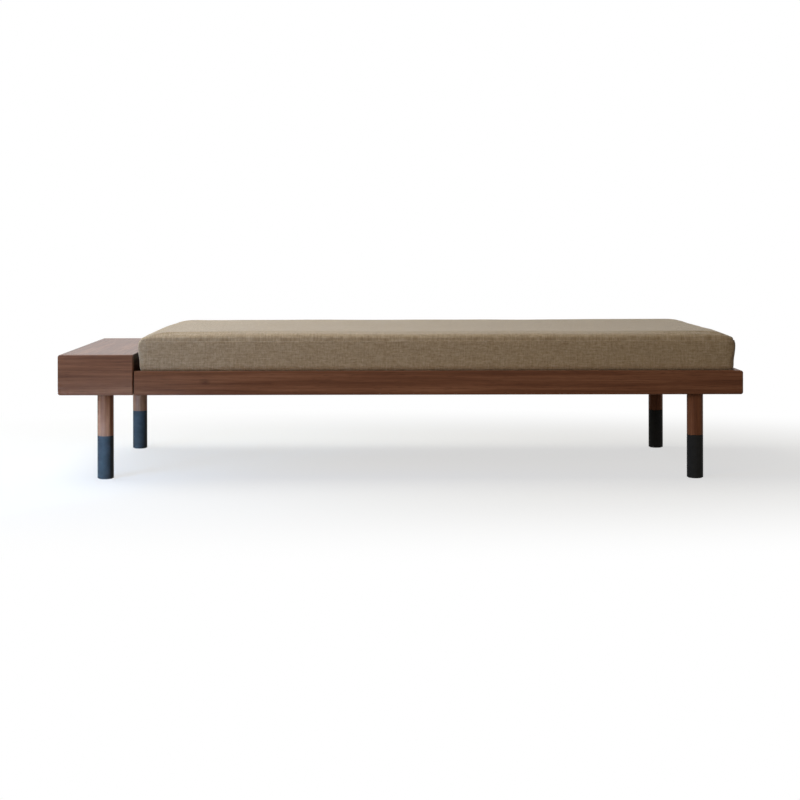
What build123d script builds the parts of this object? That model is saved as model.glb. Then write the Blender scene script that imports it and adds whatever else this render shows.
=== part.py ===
from build123d import *
import os

# Walnut daybed with an end box, in millimetres.
# The origin is on the floor under the middle of the daybed.
# +X runs to the right along the length, the front is at -Y and +Z is up.

# Overall size
overall_length = 1900
overall_depth = 700
frame_underside = 236  # lower edge of the rails and of the end box above the floor

# Bench frame
rail_height = 66
rail_thickness = 18
end_corner_radius = 6.5  # outer corners at both ends of the daybed, seen from the front
face_arris = 2.5  # eased outline of the front and rear faces
cross_rail_thickness = 24
ledge_width = 22
ledge_height = 26
leg_board_thickness = 22
leg_board_reach = 50  # from the leg axis towards the middle of the daybed

# Slats
slat_count = 11
slat_width = 70
slat_thickness = 10
slat_end_gap = 8
slat_side_gap = 1

# End box
box_width = 208
box_height = 112
box_gap = 4  # shadow gap between the end box and the bench frame
box_panel = 16
box_bottom_thickness = 18
drawer_front_gap = 2  # between the drawer front and the box

# Legs
leg_diameter = 45
leg_end_inset = 126  # leg axis from the end of the daybed
leg_rail_clearance = 0.5
leg_rise = 14  # the leg tops stand this far above the lower edge of the rails
sleeve_height = 120
sleeve_wall = 1.5
shoulder_chamfer = 0.8
glide_diameter = 38
glide_thickness = 2
glide_pin_diameter = 3
glide_pin_length = 14

# Leg fixings
hanger_bolt_diameter = 8
hanger_bolt_in_leg = 45
insert_diameter = 12
insert_length = 16
insert_flange_diameter = 17
insert_flange_thickness = 1.5

# Bolts between the bench frame and the end box
connector_diameter = 8
connector_head_diameter = 13
connector_head_length = 8
connector_reach = 30  # length inside the box bottom
connector_spots = (-260, -100, 100, 260)
barrel_diameter = 10
barrel_length = 14
barrel_tail = 6  # bolt past the barrel nut's axis
spacer_diameter = 22
spacer_bore_clearance = 0.2

# Wood screws
screw_diameter = 4
screw_head_diameter = 8
screw_head_length = 2.5
slat_screw_length = 26
ledge_screw_past = 12  # length in the rail
slide_screw_diameter = 3.5
slide_screw_head_diameter = 7
slide_screw_head_length = 1.8
slide_screw_length = 11
slide_screw_spots = (0.1, 0.45, 0.9)  # shares of the slide length

# Dowels and splines
frame_dowel_diameter = 8
small_dowel_diameter = 6
dowel_in_face = 10  # depth in the face of a board
dowel_in_end = 20  # depth in the end of a board
dowel_margin = 10  # dowel axis from the edge of a board
leg_board_dowel_margin = 18
bottom_dowels_left = (-200, -60, 60, 200)
bottom_dowels_right = (-180, 0, 180)
end_rail_dowels = (-150, 0, 150)
top_dowel_offset = 60
spline_thickness = 5
spline_width = 14
spline_height_share = 0.75
spline_shift = 1.5  # towards the inner corner, both ways

# Drawer
drawer_length = 540
drawer_side_height = 48
drawer_side_thickness = 12
drawer_bottom_thickness = 6
drawer_bottom_rise = 6
groove_depth = 5
groove_end_gap = 0.5
drawer_dowel_shares = (0.25, 0.75)  # of the side's height above the groove
drawer_dowel_in_side = 8

# Drawer slides
slide_length = 500
slide_thickness = 12.7
slide_setback = 6
slide_gauge = 1.2
slide_height = 35
slide_flange = 10
slide_lip = 2
slide_travel_share = 0.75
ball_diameter = 3.2
ball_clearance = 0.15
ball_pitch = 20
cage_gauge = 0.6
cage_web_gap = 0.4
cage_lip_gap = 0.5
drawer_member_gap = 0.3  # between the cage web and the drawer member

# Mattress
mattress_box_gap = 15  # between the end box and the mattress
mattress_rail_gap = 1.5
mattress_rest_gap = 0.3  # above the slats
seam_height = 387  # top seam above the floor
boxing_profile = ((0, 0), (0.16, 0.5), (0.42, 4), (0.72, 6), (0.93, 4), (1, 0))  # share of height, bulge
base_round = 5.7
plan_corner = 18
crown_corner = 60
cover_thickness = 1.5
crown_profile = ((11, 5), (18, 18), (23, 70), (25, 170))  # rise and inset from the top seam

# Zip
zip_end_margin = 230  # from the ends of the mattress
zip_width = 24
zip_thickness = 1
zip_gap = 0.3
zip_slider_length = 14
zip_slider_height = 10
zip_slider_depth = 4
zip_pull_width = 8
zip_pull_length = 26
zip_pull_thickness = 1.5

# Places worked out from the sizes above
left = -overall_length / 2
right = overall_length / 2
front = -overall_depth / 2
rear = overall_depth / 2
inner_front = front + rail_thickness
inner_rear = rear - rail_thickness
inner_right = right - rail_thickness
rail_top = frame_underside + rail_height
leg_top = frame_underside + leg_rise
slat_underside = leg_top + leg_board_thickness
slat_top = slat_underside + slat_thickness
box_right = left + box_width
bench_left = box_right + box_gap
box_top_height = frame_underside + box_height
case_left = left + box_panel
case_right = box_right - box_panel
case_ceiling = box_top_height - box_panel
case_front = front + rail_thickness + drawer_front_gap
case_rear = rear - rail_thickness
case_floor = leg_top + box_bottom_thickness
leg_left = left + leg_end_inset
leg_right = right - leg_end_inset
leg_rear = inner_rear - leg_rail_clearance - leg_diameter / 2
leg_board_left = leg_right - leg_board_reach
cross_rail_right = bench_left + cross_rail_thickness
ledge_middle = leg_top + (slat_underside - leg_top) / 2
slide_middle = (case_floor + case_ceiling) / 2
slide_front = case_front + slide_setback
slide_rear = slide_front + slide_length
drawer_front_back = front + rail_thickness
drawer_rear = drawer_front_back + drawer_length
drawer_left = case_left + slide_thickness
drawer_right = case_right - slide_thickness
drawer_low = slide_middle - drawer_side_height / 2
drawer_high = slide_middle + drawer_side_height / 2
drawer_floor = drawer_low + drawer_bottom_rise
mattress_left = box_right + mattress_box_gap
mattress_right = inner_right - mattress_rail_gap
mattress_middle = (mattress_left + mattress_right) / 2
mattress_length = mattress_right - mattress_left
mattress_depth = inner_rear - inner_front - 2 * mattress_rail_gap
mattress_base = slat_top + mattress_rest_gap
boxing_base = mattress_base + base_round
cut_margin = 1  # cutting shapes run past the faces they cut
flat_limit = 0.1  # an edge that spans less than this is flat
far = overall_length  # larger than any part


# Helpers

def block(x0, x1, y0, y1, z0, z1):
    """A straight board between the given planes."""
    corner = (Align.MIN, Align.MIN, Align.MIN)
    return Pos(x0, y0, z0) * Box(x1 - x0, y1 - y0, z1 - z0, align=corner)


def rod_z(x, y, z0, z1, diameter):
    """An upright rod."""
    foot = (Align.CENTER, Align.CENTER, Align.MIN)
    return Pos(x, y, z0) * Cylinder(diameter / 2, z1 - z0, align=foot)


def rod_x(x0, x1, y, z, diameter):
    """A rod along the length of the daybed."""
    return Pos((x0 + x1) / 2, y, z) * Rot(0, 90, 0) * Cylinder(diameter / 2, x1 - x0)


def rod_y(x, y0, y1, z, diameter):
    """A rod from front to rear."""
    return Pos(x, (y0 + y1) / 2, z) * Rot(90, 0, 0) * Cylinder(diameter / 2, y1 - y0)


def screw(diameter, head_diameter, head_length, length):
    """A countersunk screw that points down, with the top of its head at the origin."""
    foot = (Align.CENTER, Align.CENTER, Align.MAX)
    head = Cone(diameter / 2, head_diameter / 2, head_length, align=foot)
    return head + Cylinder(diameter / 2, length, align=foot)


def rounded_end(board, end):
    """A board with its two corners at one end of the daybed rounded."""
    corners = [edge for edge in board.edges().filter_by(Axis.Y) if abs(edge.center().X - end) < flat_limit]
    return fillet(corners, end_corner_radius)


def eased_outline(board, face, uncut_end=None):
    """A board with the outline of its front or rear face eased, apart from the edge at one end."""
    outline = [edge for edge in board.edges() if edge.bounding_box().size.Y < flat_limit]
    outline = [edge for edge in outline if abs(edge.center().Y - face) < flat_limit]
    if uncut_end is not None:
        outline = [edge for edge in outline if abs(edge.center().X - uncut_end) > flat_limit]
    return fillet(outline, face_arris)


def end_slab(y0, y1, shown_face):
    """The front or back slab of the end box."""
    slab = block(left, box_right, y0, y1, frame_underside, box_top_height)
    return eased_outline(rounded_end(slab, left), shown_face)


def plan_prism(points):
    """A tall prism over an outline seen from above."""
    return extrude(Polygon(*points, align=None), far, both=True)


parts = {}

# Screws, bolts and dowels come first, because the boards are drilled with their shapes
slat_first = bench_left + slat_end_gap + slat_width / 2
slat_last = inner_right - slat_end_gap - slat_width / 2
slat_pitch = (slat_last - slat_first) / (slat_count - 1)
slat_places = [slat_first + slat_pitch * i for i in range(slat_count)]
ledge_line = inner_rear - ledge_width / 2

wood_screw = screw(screw_diameter, screw_head_diameter, screw_head_length, slat_screw_length)
slat_screws = [Pos(x, y, slat_top) * wood_screw for x in slat_places for y in (-ledge_line, ledge_line)]

ledge_screw = screw(screw_diameter, screw_head_diameter, screw_head_length, ledge_width + ledge_screw_past)
ledge_screw_places = [x + slat_pitch / 2 for x in slat_places[:-2:2]]
ledge_screws = []
for x in ledge_screw_places:
    ledge_screws.append(Pos(x, inner_rear - ledge_width, ledge_middle) * Rot(90, 0, 0) * ledge_screw)
    ledge_screws.append(Pos(x, inner_front + ledge_width, ledge_middle) * Rot(-90, 0, 0) * ledge_screw)

connector_height = leg_top + box_bottom_thickness / 2
connector_end = case_right - connector_reach
barrel_axis = connector_end + barrel_tail
connectors = []
barrel_nuts = []
spacers = []
for y in connector_spots:
    shank = rod_x(connector_end, cross_rail_right, y, connector_height, connector_diameter)
    head = rod_x(cross_rail_right, cross_rail_right + connector_head_length, y, connector_height,
                 connector_head_diameter)
    connectors.append(shank + head)
    barrel_top = connector_height + barrel_length / 2
    barrel = rod_z(barrel_axis, y, connector_height - barrel_length / 2, barrel_top, barrel_diameter)
    barrel_nuts.append(barrel - shank)
    spacer_bore = connector_diameter + 2 * spacer_bore_clearance
    spacer = rod_x(box_right, bench_left, y, connector_height, spacer_diameter)
    spacers.append(spacer - rod_x(box_right, bench_left, y, connector_height, spacer_bore))
barrel_pockets = [rod_z(barrel_axis, y, leg_top, connector_height + barrel_length / 2, barrel_diameter)
                  for y in connector_spots]

cross_rail_middle = bench_left + cross_rail_thickness / 2
cross_dowel_heights = (frame_underside + dowel_margin, slat_underside - dowel_margin)
leg_board_dowel_places = (leg_board_left + leg_board_dowel_margin, inner_right - leg_board_dowel_margin)
leg_board_middle = leg_top + leg_board_thickness / 2
dowel_lines = [(cross_rail_middle, z) for z in cross_dowel_heights]
dowel_lines += [(x, leg_board_middle) for x in leg_board_dowel_places]
frame_dowels = []
for x, z in dowel_lines:
    frame_dowels.append(rod_y(x, inner_front - dowel_in_face, inner_front + dowel_in_end, z,
                              frame_dowel_diameter))
    frame_dowels.append(rod_y(x, inner_rear - dowel_in_end, inner_rear + dowel_in_face, z,
                              frame_dowel_diameter))
for y in end_rail_dowels:
    frame_dowels.append(rod_x(inner_right - dowel_in_end, inner_right + dowel_in_face, y, leg_board_middle,
                              frame_dowel_diameter))

box_dowels = []
for y in bottom_dowels_left:
    box_dowels.append(rod_x(case_left - dowel_in_face, case_left + dowel_in_end, y, connector_height,
                            frame_dowel_diameter))
for y in bottom_dowels_right:
    box_dowels.append(rod_x(case_right - dowel_in_end, case_right + dowel_in_face, y, connector_height,
                            frame_dowel_diameter))
side_dowel_heights = (case_floor, case_ceiling - dowel_margin)
back_dowels = [(x, z) for x in (left + box_panel / 2, box_right - box_panel / 2) for z in side_dowel_heights]
box_middle = (left + box_right) / 2
top_dowel_height = box_top_height - box_panel / 2
back_dowels += [(box_middle + x, top_dowel_height) for x in (-top_dowel_offset, top_dowel_offset)]
for x, z in back_dowels:
    box_dowels.append(rod_y(x, case_rear - dowel_in_end, case_rear + dowel_in_face, z, small_dowel_diameter))

parts["slat_screws"] = slat_screws
parts["ledge_screws"] = ledge_screws
parts["connector_bolts"] = connectors
parts["barrel_nuts"] = barrel_nuts
parts["spacer_washers"] = spacers
parts["frame_dowels"] = frame_dowels
parts["box_dowels"] = box_dowels

# Mitre splines: upright plates across the two right corners
half_rail = rail_thickness / 2
splines = []
for side in (-1, 1):
    plate = Box(spline_width, spline_thickness, rail_height * spline_height_share)
    middle_x = right - half_rail - spline_shift
    middle_y = side * (rear - half_rail - spline_shift)
    middle_z = frame_underside + rail_height / 2
    splines.append(Pos(middle_x, middle_y, middle_z) * Rot(0, 0, -side * 45) * plate)
parts["mitre_splines"] = splines

# Rails: one rounded ring, open at the left, sawn apart at the mitres
ring = block(bench_left, right, front, rear, frame_underside, rail_top)
ring = rounded_end(ring, right)
ring = eased_outline(ring, front, bench_left)
ring = eased_outline(ring, rear, bench_left)
ring = ring - block(bench_left - cut_margin, inner_right, inner_front, inner_rear,
                    frame_underside - cut_margin, rail_top + cut_margin)
ring = ring - splines - frame_dowels - ledge_screws
end_prism = plan_prism([(right + cut_margin, front - cut_margin), (right + cut_margin, rear + cut_margin),
                        (inner_right - cut_margin, inner_rear - cut_margin),
                        (inner_right - cut_margin, inner_front + cut_margin)])
long_rails = (ring - end_prism).solids().sort_by(Axis.Y)
parts["front_rail"] = long_rails[0]
parts["rear_rail"] = long_rails[-1]
parts["right_end_rail"] = ring & end_prism

# Left cross rail, leg board and ledges
cross_rail = block(bench_left, cross_rail_right, inner_front, inner_rear, frame_underside, slat_underside)
parts["left_cross_rail"] = cross_rail - frame_dowels - connectors - slat_screws

legs_at = {
    "front_left": (leg_left, -leg_rear),
    "front_right": (leg_right, -leg_rear),
    "rear_left": (leg_left, leg_rear),
    "rear_right": (leg_right, leg_rear),
}
hanger_bolts = [rod_z(x, y, leg_top - hanger_bolt_in_leg, leg_top + insert_length, hanger_bolt_diameter)
                for x, y in legs_at.values()]
insert_bodies = [rod_z(x, y, leg_top, leg_top + insert_length, insert_diameter)
                 + rod_z(x, y, leg_top, leg_top + insert_flange_thickness, insert_flange_diameter)
                 for x, y in legs_at.values()]
parts["hanger_bolts"] = hanger_bolts
parts["insert_nuts"] = [body - bolt for body, bolt in zip(insert_bodies, hanger_bolts)]

leg_board = block(leg_board_left, inner_right, inner_front, inner_rear, leg_top, slat_underside)
parts["leg_board"] = leg_board - frame_dowels - insert_bodies - slat_screws

ledge_low = slat_underside - ledge_height
for name, y0 in (("front_ledge", inner_front), ("rear_ledge", inner_rear - ledge_width)):
    ledge = block(cross_rail_right, leg_board_left, y0, y0 + ledge_width, ledge_low, slat_underside)
    parts[name] = ledge - slat_screws - ledge_screws

# Slats
for number, x in enumerate(slat_places, start=1):
    slat = block(x - slat_width / 2, x + slat_width / 2, inner_front + slat_side_gap,
                 inner_rear - slat_side_gap, slat_underside, slat_top)
    parts[f"slat_{number:02d}"] = slat - slat_screws

# Slide members: profiles across the box, drawn from the case wall at 0 towards the drawer
half_slide = slide_height / 2
race = half_slide - slide_gauge  # inner face of the case member's flange
ball_height = race - ball_clearance - ball_diameter / 2
ball_reach = slide_flange / 2 + cage_web_gap
member_top = ball_height - ball_diameter / 2 - ball_clearance
cage_web = slide_gauge + cage_web_gap
cage_end = slide_flange - slide_gauge - cage_lip_gap
member_start = cage_web + cage_gauge + drawer_member_gap
slide_travel = slide_length * slide_travel_share
cage_start = slide_front + slide_travel / 2
cage_length = slide_length - slide_travel


def slide_piece(rectangles, y0, y1):
    """A bent sheet: rectangles across the slide, mirrored top to bottom, run from y0 to y1."""
    pieces = []
    for s0, s1, z0, z1 in rectangles:
        pieces.append(block(s0, s1, y0, y1, slide_middle + z0, slide_middle + z1))
        pieces.append(block(s0, s1, y0, y1, slide_middle - z1, slide_middle - z0))
    return pieces[0].fuse(*pieces[1:]).clean()


case_sheet = slide_piece([
    (0, slide_gauge, 0, half_slide),
    (0, slide_flange, race, half_slide),
    (slide_flange - slide_gauge, slide_flange, race - slide_lip, race),
], slide_front, slide_rear)
drawer_sheet = slide_piece([
    (slide_thickness - slide_gauge, slide_thickness, 0, member_top),
    (member_start, slide_thickness, member_top - slide_gauge, member_top),
], slide_front, slide_rear)
half_cage = cage_gauge / 2
cage_sheet = slide_piece([
    (cage_web, cage_web + cage_gauge, 0, ball_height + half_cage),
    (cage_web, cage_end, ball_height - half_cage, ball_height + half_cage),
], cage_start, cage_start + cage_length)
balls = []
ball_count = int(cage_length / ball_pitch)
ball_first = cage_start + (cage_length - (ball_count - 1) * ball_pitch) / 2
ball_hole = ball_diameter + 2 * ball_clearance
for i in range(ball_count):
    ball_place = ball_first + i * ball_pitch
    for z in (-ball_height, ball_height):
        balls.append(Pos(ball_reach, ball_place, slide_middle + z) * Sphere(ball_diameter / 2))
    cage_sheet = cage_sheet - rod_z(ball_reach, ball_place, case_floor, case_ceiling, ball_hole)
slide_screw = screw(slide_screw_diameter, slide_screw_head_diameter, slide_screw_head_length,
                    slide_screw_length)
case_screws = []
for share in slide_screw_spots:
    place = Pos(slide_gauge, slide_front + share * slide_length, slide_middle)
    case_screws.append(place * Rot(0, 90, 0) * slide_screw)
member_face = slide_thickness - slide_gauge
member_screws = []
for share in slide_screw_spots:
    place = Pos(member_face, slide_front + share * slide_length, slide_middle)
    member_screws.append(place * Rot(0, -90, 0) * slide_screw)
case_sheet = case_sheet - case_screws
drawer_sheet = drawer_sheet - member_screws


def both_sides(shapes):
    """The same shapes at the left wall of the box and mirrored at the right wall."""
    at_left = [Pos(case_left, 0, 0) * shape for shape in shapes]
    at_right = [Pos(case_right, 0, 0) * mirror(shape, about=Plane.YZ) for shape in shapes]
    return at_left + at_right


case_screws = both_sides(case_screws)
member_screws = both_sides(member_screws)
parts["slide_case_members"] = both_sides([case_sheet])
parts["slide_drawer_members"] = both_sides([drawer_sheet])
parts["ball_cages"] = both_sides([cage_sheet])
parts["slide_balls"] = both_sides(balls)
parts["case_slide_screws"] = case_screws
parts["drawer_slide_screws"] = member_screws

# End box: top and sides are one rounded shell, sawn apart at the mitres
shell = block(left, box_right, case_front, case_rear, frame_underside, box_top_height)
shell = rounded_end(shell, left)
shell = shell - block(case_left, case_right, case_front - cut_margin, case_rear + cut_margin,
                      frame_underside - cut_margin, case_ceiling)
shell = shell - box_dowels - case_screws - connectors
top_outline = [(left - cut_margin, box_top_height + cut_margin),
               (box_right + cut_margin, box_top_height + cut_margin),
               (case_right - cut_margin, case_ceiling - cut_margin),
               (case_left + cut_margin, case_ceiling - cut_margin)]
top_prism = extrude(Plane.XZ * Polygon(*top_outline, align=None), far, both=True)
sides = (shell - top_prism).solids().sort_by(Axis.X)
parts["box_top"] = shell & top_prism
parts["box_left_panel"] = sides[0]
parts["box_right_panel"] = sides[-1]
bottom = block(case_left, case_right, case_front, case_rear, leg_top, case_floor)
parts["box_bottom"] = bottom - box_dowels - insert_bodies - connectors - barrel_pockets
parts["box_back"] = end_slab(case_rear, rear, rear) - box_dowels

# Drawer
tray_left = drawer_left + drawer_side_thickness
tray_right = drawer_right - drawer_side_thickness
tray_rear = drawer_rear - drawer_side_thickness


def bottom_sheet(reach):
    """The sheet of the drawer bottom, reaching this far into the boards round it."""
    return block(tray_left - reach, tray_right + reach, drawer_front_back - reach, tray_rear + reach,
                 drawer_floor, drawer_floor + drawer_bottom_thickness)


groove = bottom_sheet(groove_depth + groove_end_gap)
above_groove = drawer_high - drawer_floor - drawer_bottom_thickness
drawer_dowel_heights = [drawer_high - above_groove * share for share in drawer_dowel_shares]
half_side = drawer_side_thickness / 2
back_line = drawer_rear - half_side
drawer_dowels = []
for z in drawer_dowel_heights:
    for x in (drawer_left + half_side, drawer_right - half_side):
        drawer_dowels.append(rod_y(x, drawer_front_back - dowel_in_face, drawer_front_back + dowel_in_end, z,
                                   small_dowel_diameter))
    drawer_dowels.append(rod_x(tray_left - drawer_dowel_in_side, tray_left + dowel_in_end, back_line, z,
                               small_dowel_diameter))
    drawer_dowels.append(rod_x(tray_right - dowel_in_end, tray_right + drawer_dowel_in_side, back_line, z,
                               small_dowel_diameter))
parts["drawer_dowels"] = drawer_dowels
parts["drawer_front"] = end_slab(front, drawer_front_back, front) - groove - drawer_dowels
side_places = {"drawer_left_side": drawer_left, "drawer_right_side": tray_right}
for name, x0 in side_places.items():
    side = block(x0, x0 + drawer_side_thickness, drawer_front_back, drawer_rear, drawer_low, drawer_high)
    parts[name] = side - groove - drawer_dowels - member_screws
back = block(tray_left, tray_right, tray_rear, drawer_rear, drawer_low, drawer_high)
parts["drawer_back"] = back - groove - drawer_dowels
parts["drawer_bottom"] = bottom_sheet(groove_depth)

# Legs, sleeves and glides
glides = []
for place, (x, y) in legs_at.items():
    upper = rod_z(x, y, sleeve_height, leg_top, leg_diameter)
    shoulder = upper.edges().filter_by(GeomType.CIRCLE).sort_by(Axis.Z)[0]
    upper = chamfer(shoulder, shoulder_chamfer)
    core_diameter = leg_diameter - 2 * sleeve_wall
    lower = rod_z(x, y, glide_thickness, sleeve_height, core_diameter)
    glide_pin = rod_z(x, y, glide_thickness, glide_thickness + glide_pin_length, glide_pin_diameter)
    glides.append(rod_z(x, y, 0, glide_thickness, glide_diameter) + glide_pin)
    parts[f"leg_{place}"] = upper + lower - hanger_bolts - glide_pin
    tube = rod_z(x, y, glide_thickness, sleeve_height, leg_diameter)
    parts[f"leg_sleeve_{place}"] = tube - rod_z(x, y, glide_thickness, sleeve_height, core_diameter)
parts["leg_glides"] = glides


# Mattress: a boxed cushion with bulging sides and a crowned top

def cushion_plan(inset, corner, height):
    """The outline of the cushion at one height."""
    return Pos(mattress_middle, 0, height) * RectangleRounded(
        mattress_length - 2 * inset, mattress_depth - 2 * inset, corner)


def cushion_form(skin):
    """The whole cushion, drawn in by the given skin on every side."""
    seam = seam_height - skin
    sections = [cushion_plan(base_round + skin, plan_corner, mattress_base + skin)]
    for share, bulge in boxing_profile:
        sections.append(cushion_plan(skin - bulge, plan_corner, boxing_base + (seam - boxing_base) * share))
    last_inset = crown_profile[-1][1]
    for rise, inset in crown_profile:
        corner = plan_corner + (crown_corner - plan_corner) * inset / last_inset
        sections.append(cushion_plan(inset + skin, corner, seam + rise))
    return loft(sections, ruled=True)


cushion = cushion_form(0)
foam = cushion_form(cover_thickness)
cover = cushion - foam
above_seam = block(-far, far, -far, far, seam_height, far)
below_boxing = block(-far, far, -far, far, 0, boxing_base)
parts["mattress_core"] = foam
parts["mattress_top_panel"] = cover & above_seam
parts["mattress_base_panel"] = cover & below_boxing
parts["mattress_boxing"] = cover - above_seam - below_boxing

# Zip: a strip on the middle face of the rear boxing, with a slider at its left end
boxing_height = seam_height - boxing_base
(low_share, low_bulge), (high_share, high_bulge) = boxing_profile[2:4]
lean = (high_bulge - low_bulge) / ((high_share - low_share) * boxing_height)
face_low = boxing_base + boxing_height * low_share
zip_height = boxing_base + boxing_height * (low_share + high_share) / 2
zip_low = zip_height - zip_width / 2
zip_high = zip_height + zip_width / 2


def on_boxing(height, offset):
    """A point of the cross section at the given height and distance behind the rear boxing."""
    return (mattress_depth / 2 + low_bulge + lean * (height - face_low) + offset, height)


def zip_prism(x0, x1, low, high, near, reach):
    """A strip along the rear boxing."""
    outline = [on_boxing(low, near), on_boxing(low, reach), on_boxing(high, reach), on_boxing(high, near)]
    return Pos(x0, 0, 0) * extrude(Plane.YZ * Polygon(*outline, align=None), x1 - x0)


zip_left = mattress_left + zip_end_margin
zip_right = mattress_right - zip_end_margin
parts["mattress_zip"] = zip_prism(zip_left, zip_right, zip_low, zip_high, 0, zip_thickness)
slider_near = zip_thickness + zip_gap
slider_low = zip_height - zip_slider_height / 2
slider_far = slider_near + zip_slider_depth
slider = zip_prism(zip_left, zip_left + zip_slider_length, slider_low, slider_low + zip_slider_height,
                   slider_near, slider_far)
pull_left = zip_left + (zip_slider_length - zip_pull_width) / 2
pull_low = slider_low - zip_pull_length
pull = zip_prism(pull_left, pull_left + zip_pull_width, pull_low, zip_height,
                 slider_far - zip_pull_thickness, slider_far)
parts["zip_slider"] = slider + pull

# One file for each part
os.makedirs("parts", exist_ok=True)
for name, shape in parts.items():
    solids = shape if isinstance(shape, list) else [shape]
    bodies = [body for piece in solids for body in piece.solids()]
    export_step(bodies[0] if len(bodies) == 1 else Compound(bodies), f"parts/{name}.step")
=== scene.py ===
import math

import bpy
import numpy as np
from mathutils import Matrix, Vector, noise


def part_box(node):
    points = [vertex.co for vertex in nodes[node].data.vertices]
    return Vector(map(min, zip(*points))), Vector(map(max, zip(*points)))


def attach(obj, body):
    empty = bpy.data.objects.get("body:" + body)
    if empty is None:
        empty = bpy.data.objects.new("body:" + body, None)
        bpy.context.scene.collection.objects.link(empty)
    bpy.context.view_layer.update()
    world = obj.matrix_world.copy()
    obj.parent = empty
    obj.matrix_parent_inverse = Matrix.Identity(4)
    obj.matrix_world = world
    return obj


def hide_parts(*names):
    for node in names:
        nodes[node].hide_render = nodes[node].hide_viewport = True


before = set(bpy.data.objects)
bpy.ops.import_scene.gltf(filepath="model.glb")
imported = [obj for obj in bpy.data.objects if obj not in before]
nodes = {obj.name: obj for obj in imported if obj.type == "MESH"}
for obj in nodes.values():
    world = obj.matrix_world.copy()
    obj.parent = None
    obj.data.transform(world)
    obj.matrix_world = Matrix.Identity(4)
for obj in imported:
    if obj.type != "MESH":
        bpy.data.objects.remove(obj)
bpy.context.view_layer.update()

# Looks of a daybed with an end box and a loose mattress
# Lengths are in metres, in the frame's own axes: X along the daybed, Y to the rear, Z up

# Camera: a level view with the horizon above the middle of the picture, in pixels of the photograph
IMAGE_SIZE = 800
FOCAL_PIXELS = 1545
HORIZON_PIXEL = 235
VANISHING_PIXEL = 381
SENSOR_MILLIMETRES = 36.0
CAMERA_PLACE = (-0.053, -4.630, 0.679)
CAMERA_ROLL = 0.0017

# Mattress cover: spacing of its mesh
EDGE_STEP = 0.004
EDGE_BAND = 0.040
FIELD_STEP = 0.013
BOXING_STEP = 0.008
TUCK_STEPS = 6

# Mattress cover: its outline, its top seam and the joins of its boxing
CORNER_RADIUS = 0.018
SIDE_FULLNESS = 0.0055
SEAM_HALF_WIDTH = 0.0010
SEAM_DEPTH = 0.0028
SEAM_DROP = 0.0060
JOIN_INSET = 0.045

# Mattress cover: how the boxing bulges, and how it tucks in at the rails
BOXING_INSET = 0.0020
BULGE_PEAK = 0.80
BULGE_POWER = 1.5
TUCK_HEIGHT = 0.014
END_TUCK = 0.003
SIDE_TUCK = 0.011

# Mattress cover: rolled edges of the top, each a width and a roundness, wider towards the corners
SIDE_ROLL = (0.025, 2.0)
LEFT_ROLL = (0.050, 2.0)
RIGHT_ROLL = (0.044, 2.0)
CORNER_SOFTNESS = 2.0
CORNER_SPREAD = 1.0
CORNER_POWER = 4

# Mattress cover: the cloth simulation, and how far it may move the top and the boxing
CLOTH_FRAMES = 16
CLOTH_PRESSURE = 4.0
CLOTH_QUALITY = 4
CLOTH_STIFFNESS = 20.0
CLOTH_BENDING = 4.0
CROWN_SWELL = 0.003
CROWN_SLACK = 0.0022
BOXING_SWELL = 0.0012
LEAST_LENGTH = 1e-9

# Mattress cover: gathers beside the seam, with separate noise for the sides and the ends
PUCKER_HEIGHT = 0.0010
PUCKER_REACH = 0.018
PUCKER_LENGTH = 0.028
PUCKER_LEAST = 0.02
PUCKER_LEVEL = 0.5
SIDE_LANE = 3
END_LANE = 8

# Mattress cover: waves of the foam, each its rate along X and along Y, a level of the noise and a height
FOAM_WAVES = ((3.1, 3.7, 0.4, 0.0016), (9.0, 9.0, 5.2, 0.0006))

# Zip teeth
TOOTH_PITCH = 0.004
TOOTH_SIZE = (0.0022, 0.0016, 0.0036)
TOOTH_LIFT = 0.0004
TOOTH_STAGGER = 0.3
TOOTH_BEVEL = 0.0003

# Stitches of the leg sleeves
LEG_PLACES = ("front_left", "front_right", "rear_left", "rear_right")
STITCH_PITCH = 0.006
STITCH_LENGTH = 0.0042
STITCH_RADIUS = 0.0005
STITCH_STEPS = 5
STITCH_SIDES = 6
STITCH_SINK = 0.4
STITCH_END = 0.55
STITCH_SLANT = 0.35

# Woods: colours of the dark, middle and light streaks and of the pores
WALNUT = ((0.095, 0.034, 0.017), (0.182, 0.070, 0.034), (0.285, 0.124, 0.064), (0.045, 0.015, 0.007))
BEECH = ((0.46, 0.29, 0.165), (0.58, 0.39, 0.235), (0.68, 0.49, 0.315), (0.34, 0.19, 0.10))
BIRCH = ((0.56, 0.41, 0.26), (0.67, 0.51, 0.34), (0.75, 0.60, 0.43), (0.50, 0.36, 0.22))

# Wood grain: rate of each layer along and across the grain, and its share of the tone
BROAD_GRAIN = (0.8, 11.0)
RING_GRAIN = (0.7, 12.0)
BAND_GRAIN = (1.8, 95.0)
STREAK_GRAIN = (5.0, 300.0)
PORE_GRAIN = (30.0, 950.0)
BROAD_SHARE = 0.22
RING_SHARE = 0.08
BAND_SHARE = 0.30
STREAK_SHARE = 0.42
PORE_SHARE = 0.5
STREAK_HEIGHT = 0.4
WOOD_TONES = (0.37, 0.51, 0.65)
PLY_RATE = 110.0

# Knot on the front rail: its place from the rail's lowest front left corner, and its size
KNOT_OFFSET = (0.197, 0.0, 0.036)
KNOT_SIZE = (0.030, 0.040, 0.016)
KNOT_SHADE = (0.46, 0.44, 0.44)
KNOT_RAGGED_GRAIN = (60.0, 60.0, 190.0)
KNOT_RAGGEDNESS = 0.8

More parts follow.
